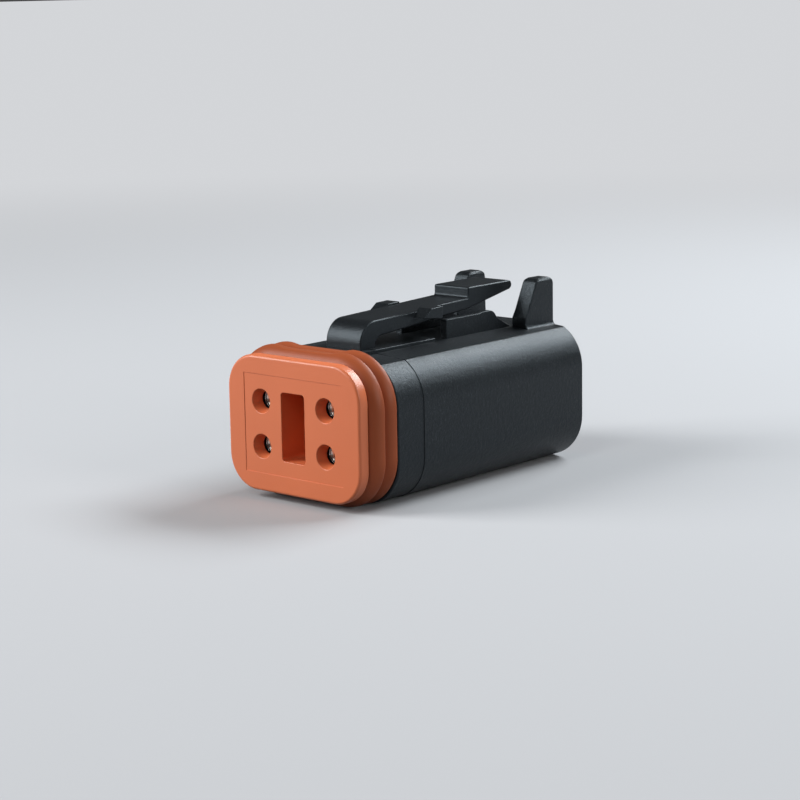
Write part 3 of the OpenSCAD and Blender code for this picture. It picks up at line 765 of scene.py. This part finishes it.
class PLUG_OT_wedge_lock(bpy.types.Operator):
    """Wedge lock: plate with its panel, slot, entries and hollow leg"""

    bl_idname = "plug.wedge_lock"
    bl_label = "Wedge lock"

    def execute(self, context):
        edges = context.scene.plug_edges
        bm = cleaned("wedge_lock")
        panel_side, panel_top = 7.8 * MM, 5.9 * MM
        lips_side, lips_top, lip_depth = 7.5 * MM, 5.5 * MM, 0.2 * MM
        near = 0.05 * MM

        def on_panel(edge):
            m = middle(edge)
            on_side = abs(abs(m.x) - panel_side) < near
            on_top = abs(abs(m.z - AXIS_Z) - panel_top) < near
            return m.y < FACE_Y + 0.02 * MM and (on_side or on_top)

        def on_lip(edge):
            m = middle(edge)
            inside = abs(m.x) < lips_side and abs(m.z - AXIS_Z) < lips_top
            return inside and m.y < FACE_Y + lip_depth

        round_edges(bm, edges.panel, on_panel, least=60.0, segments=2)
        round_edges(bm, edges.plate, on_lip, least=40.0)
        obj = as_object(bm, "wedge_moulding", orange_plastic(), 34.0)
        stands_for(obj, "wedge", "wedge", "wedge_lock")
        return {"FINISHED"}


class PLUG_OT_front_seal(bpy.types.Operator):
    """Front seal: a ribbed outline carried round the ring, with a dip along its top"""

    bl_idname = "plug.front_seal"
    bl_label = "Front seal"

    def execute(self, context):
        seal = context.scene.plug_seal
        # A rib rises along an arc, of radius bow, whose centre lies under the crest.
        run = seal.pitch - seal.flank
        bow = (run * run + seal.groove * seal.groove) / (2 * seal.groove)
        bore = -seal.groove - seal.wall
        end = SEAL_HIGH.y - SEAL_LOW.y
        corners = [(bore, end, 0.0), (bore, 0.0, 0.0), (-seal.groove, 0.0, 0.0)]
        for rib in range(RIBS):
            crest = seal.gap + run + rib * seal.pitch
            for k in range(1, ARC_STEPS):
                angle = math.asin(run / bow) * (1 - k / ARC_STEPS)
                corners.append((bow * math.cos(angle) - bow, crest - bow * math.sin(angle), 0.0))
            corners.append((0.0, crest + 0.6 * seal.crest, seal.crest))
            corners.append((-seal.groove, crest + seal.flank, seal.root))
        corners[-1] = (-seal.groove, end, 0.0)
        tree = carried_ring_tree()
        host = outline_curve("seal_outline", softened(corners))
        ring = evaluate(host, tree, {
            "Width": SEAL_HIGH.x - SEAL_LOW.x, "Height": SEAL_HIGH.z - SEAL_LOW.z,
            "Corner": seal.corner, "Steps": seal.steps, "Dip Width": seal.dip_width,
            "Dip Slope": seal.dip_slope, "Dip Depth": seal.dip_depth,
            "Material": orange_rubber()}, "seal_ring")
        obj = stood_up(ring, SEAL_LOW.y, orange_rubber(), 50.0)
        stands_for(obj, "plug", "seal", "front_seal")
        return {"FINISHED"}


class PLUG_OT_rear_seal(bpy.types.Operator):
    """Rear seal: the rubber block round the wires"""

    bl_idname = "plug.rear_seal"
    bl_label = "Rear seal"

    def execute(self, context):
        edges = context.scene.plug_edges
        bm = cleaned("rear_seal")
        round_edges(bm, edges.rubber, lambda edge: middle(edge).y > WIRE_SEAL_REAR_Y - 0.3 * MM)
        obj = as_object(bm, "wire_seal", orange_rubber(), 40.0)
        stands_for(obj, "plug", "seal", "rear_seal")
        return {"FINISHED"}


class PLUG_OT_contacts(bpy.types.Operator):
    """Contacts: four turned sockets and their sheet-metal hoods"""

    bl_idname = "plug.contacts"
    bl_label = "Contacts and hoods"

    def execute(self, context):
        sizes = context.scene.plug_contacts
        edge = context.scene.plug_edges.metal
        colours = context.scene.plug_colours
        nickel = turned_metal("nickel_plating", tuple(colours.nickel), *NICKEL_RINGS)
        steel = turned_metal("steel_sheet", tuple(colours.steel), *STEEL_RINGS)
        hood_low, hood_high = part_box("contact_hood_1")
        low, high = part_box("contact_1")
        front, collar, rear = low.y - hood_low.y, hood_high.y - hood_low.y, high.y - hood_low.y
        hood, wall = (hood_high.x - hood_low.x) / 2, sizes.hood_wall
        waist = collar + sizes.collar_length
        barrel = waist + sizes.waist_length
        lead, socket = 0.2 * MM, sizes.socket - 0.01 * MM
        socket_outline = [
            (0.0, sizes.bore_depth, 0.0), (sizes.pin_bore, sizes.bore_depth, 0.0),
            (sizes.pin_bore, front + lead, edge), (sizes.pin_bore + lead, front, edge),
            (socket, front, edge), (socket, collar, 0.0),
            (sizes.collar, collar, edge), (sizes.collar, waist, edge), (sizes.waist, waist, edge),
            (sizes.waist, barrel, edge), (hood, barrel, edge), (hood, rear, edge),
            (sizes.waist, rear, edge), (sizes.waist, rear - sizes.crimp_depth, 0.0),
            (0.0, rear - sizes.crimp_depth, 0.0)]
        hood_outline = [
            (sizes.hood_mouth, 0.0, edge), (hood, 0.0, 3 * edge), (hood, collar, edge),
            (hood - wall, collar, edge), (hood - wall, wall, 0.0), (sizes.hood_mouth, wall, edge)]
        tree = turned_set_tree()
        for name, outline, closed, metal, slot, node in (
                ("contact_set", socket_outline, False, nickel, "contact", "contact_%d"),
                ("hood_set", hood_outline, True, steel, "hood", "contact_hood_%d")):
            points = [(p[0] - hood, p[1]) for p in softened(outline, closed)]
            host = outline_curve(name + "_outline", points, closed)
            turned = evaluate(host, tree, {
                "Core": hood, "Steps": sizes.steps, "Pitch X": sizes.pitch_x,
                "Pitch Y": sizes.pitch_z, "Material": metal}, name)
            obj = stood_up(turned, hood_low.y, metal)
            stands_for(obj, "plug", slot, *[node % i for i in range(1, 5)])
        return {"FINISHED"}


# ---------------------------------------------------------------- stage

CAMERA_PLACE = (0.17616, -0.20121, 0.06022)
CAMERA_RIGHT = (0.75165, 0.65936, -0.01602)
CAMERA_UP = (-0.11134, 0.15078, 0.98228)
CAMERA_AHEAD = (-0.65009, 0.73655, -0.18675)

# Each lamp's name, its power in the settings, its place, its size and its tint.
LAMPS = (
    ("key_lamp", "key", (0.075, -0.34, 0.37), (0.16, 0.16), (1.0, 0.98, 0.96)),
    ("side_lamp", "side", (-0.33, -0.34, 0.25), (0.24, 0.38), (1.0, 0.99, 0.98)),
    ("rim_lamp", "rim", (0.40, 0.03, 0.16), (0.14, 0.20), (1.0, 0.99, 0.97)),
    ("back_lamp", "back", (0.10, 0.36, 0.34), (0.40, 0.17), (0.94, 0.98, 1.0)),
)
FLOOR_CORNERS = ((-6, -3, 0), (6, -3, 0), (6, 12, 0), (-6, 12, 0))
WORLD_TINT = (0.95, 0.97, 1.0, 1.0)
SENSOR_WIDTH = 36.0
NEAREST_SEEN = 0.01


def area_lamp(name, place, aim, size, power, tint):
    """A rectangular lamp that faces its aim."""
    data = bpy.data.lights.new(name, "AREA")
    data.shape = "RECTANGLE"
    data.size, data.size_y = size
    data.energy = power
    data.color = tint
    lamp = bpy.data.objects.new(name, data)
    bpy.context.scene.collection.objects.link(lamp)
    lamp.location = place
    lamp.rotation_euler = (Vector(aim) - Vector(place)).to_track_quat("-Z", "Y").to_euler()


class PLUG_OT_stage(bpy.types.Operator):
    """Stage: floor, lamps, world and camera"""

    bl_idname = "plug.stage"
    bl_label = "Stage"

    def execute(self, context):
        scene = context.scene
        stage = scene.plug_stage
        bm = bmesh.new()
        bm.faces.new([bm.verts.new(corner) for corner in FLOOR_CORNERS])
        mesh = bpy.data.meshes.new("floor")
        bm.to_mesh(mesh)
        bm.free()
        floor = bpy.data.objects.new("floor", mesh)
        scene.collection.objects.link(floor)
        mesh.materials.append(pale_floor())

        centre = (0.0, 0.0, AXIS_Z)
        for name, level, place, size, tint in LAMPS:
            area_lamp(name, place, centre, size, getattr(stage, level), tint)

        world = bpy.data.worlds.new("studio")
        world.use_nodes = True
        nodes = world.node_tree.nodes
        nodes["Background"].inputs["Color"].default_value = WORLD_TINT
        nodes["Background"].inputs["Strength"].default_value = stage.fill
        scene.world = world

        data = bpy.data.cameras.new("camera")
        data.lens = stage.lens
        data.sensor_width = SENSOR_WIDTH
        data.clip_start = NEAREST_SEEN
        camera = bpy.data.objects.new("camera", data)
        scene.collection.objects.link(camera)
        axes = Matrix((CAMERA_RIGHT, CAMERA_UP, [-v for v in CAMERA_AHEAD])).transposed()
        camera.matrix_world = Matrix.Translation(CAMERA_PLACE) @ axes.to_4x4()
        scene.camera = camera
        scene.view_settings.view_transform = "Standard"
        return {"FINISHED"}


# ---------------------------------------------------------------- the add-on

GROUPS = (("plug_edges", PlugEdges), ("plug_lever", PlugLever), ("plug_seal", PlugSeal),
          ("plug_contacts", PlugContacts), ("plug_colours", PlugColours), ("plug_stage", PlugStage))

OPERATORS = (PLUG_OT_housing, PLUG_OT_latch_lever, PLUG_OT_wedge_lock, PLUG_OT_front_seal,
             PLUG_OT_rear_seal, PLUG_OT_contacts, PLUG_OT_stage)


class PLUG_PT_panel(bpy.types.Panel):
    """Lists the plug's pieces and settings"""

    bl_idname = "PLUG_PT_panel"
    bl_label = "Sealed plug"
    bl_space_type = "VIEW_3D"
    bl_region_type = "UI"
    bl_category = "Plug"

    def draw(self, context):
        scene = context.scene
        for operator in OPERATORS:
            self.layout.operator(operator.bl_idname)
        for name, _ in GROUPS:
            group = getattr(scene, name)
            box = self.layout.box()
            for prop in group.bl_rna.properties:
                if prop.identifier not in {"rna_type", "name"}:
                    box.prop(group, prop.identifier)


def register():
    """Adds the settings, the operators and the panel."""
    for name, group in GROUPS:
        bpy.utils.register_class(group)
        setattr(bpy.types.Scene, name, PointerProperty(type=group))
    for operator in OPERATORS:
        bpy.utils.register_class(operator)
    bpy.utils.register_class(PLUG_PT_panel)


def unregister():
    """Takes them away again."""
    bpy.utils.unregister_class(PLUG_PT_panel)
    for operator in reversed(OPERATORS):
        bpy.utils.unregister_class(operator)
    for name, group in reversed(GROUPS):
        delattr(bpy.types.Scene, name)
        bpy.utils.unregister_class(group)


def main():
    """Builds every piece and the stage."""
    register()
    for operator in OPERATORS:
        group, name = operator.bl_idname.split(".")
        getattr(getattr(bpy.ops, group), name)()
    bpy.context.view_layer.update()


if __name__ == "__main__":
    main()
